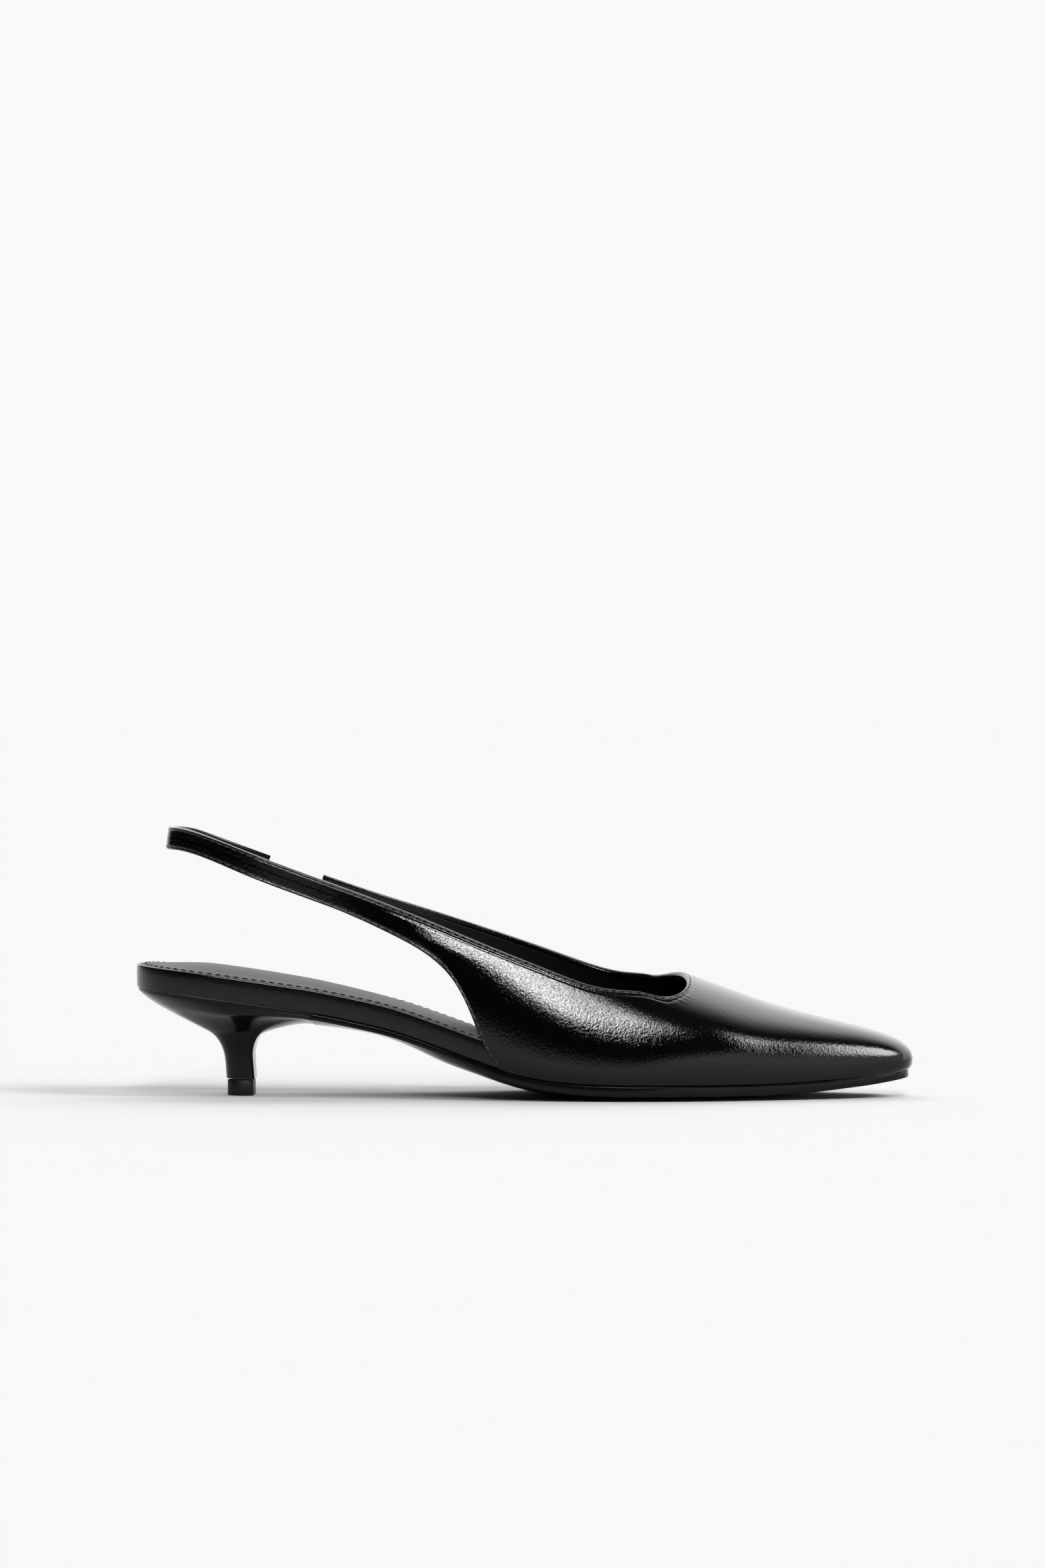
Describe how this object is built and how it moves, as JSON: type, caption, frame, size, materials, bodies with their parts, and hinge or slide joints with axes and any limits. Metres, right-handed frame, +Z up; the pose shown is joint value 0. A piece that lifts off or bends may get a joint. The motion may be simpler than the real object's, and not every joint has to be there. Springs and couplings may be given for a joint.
{
  "type": "slingback pump",
  "caption": "Right slingback pump with a narrow square toe, a curved kitten heel, a sling strap with an elastic insert and a padded sock.",
  "frame": {"origin": "on the floor under the middle of the shoe's length and width", "axes": "+X from the heel to the toe, +Y towards the inner (medial) side of the right foot, +Z up from the floor"},
  "size_m": [0.2519, 0.0753, 0.0874],
  "materials": {
    "upper_leather": "glossy black leather with a fine grain",
    "elastic": "black woven elastic",
    "sock_leather": "satin black lining leather with a fine grain",
    "wrap_leather": "smooth black leather wrap, semi gloss",
    "outsole": "black sole, glossy edge and satin underside",
    "heel_gloss": "black lacquered heel",
    "top_piece_rubber": "matte black wear piece"
  },
  "bodies": {
    "root": {"upper": "upper_leather", "elastic_band": "elastic", "insole": "sock_leather", "footbed": "wrap_leather", "outsole": "outsole", "heel": "heel_gloss", "top_piece": "top_piece_rubber"}
  },
  "joints": []
}
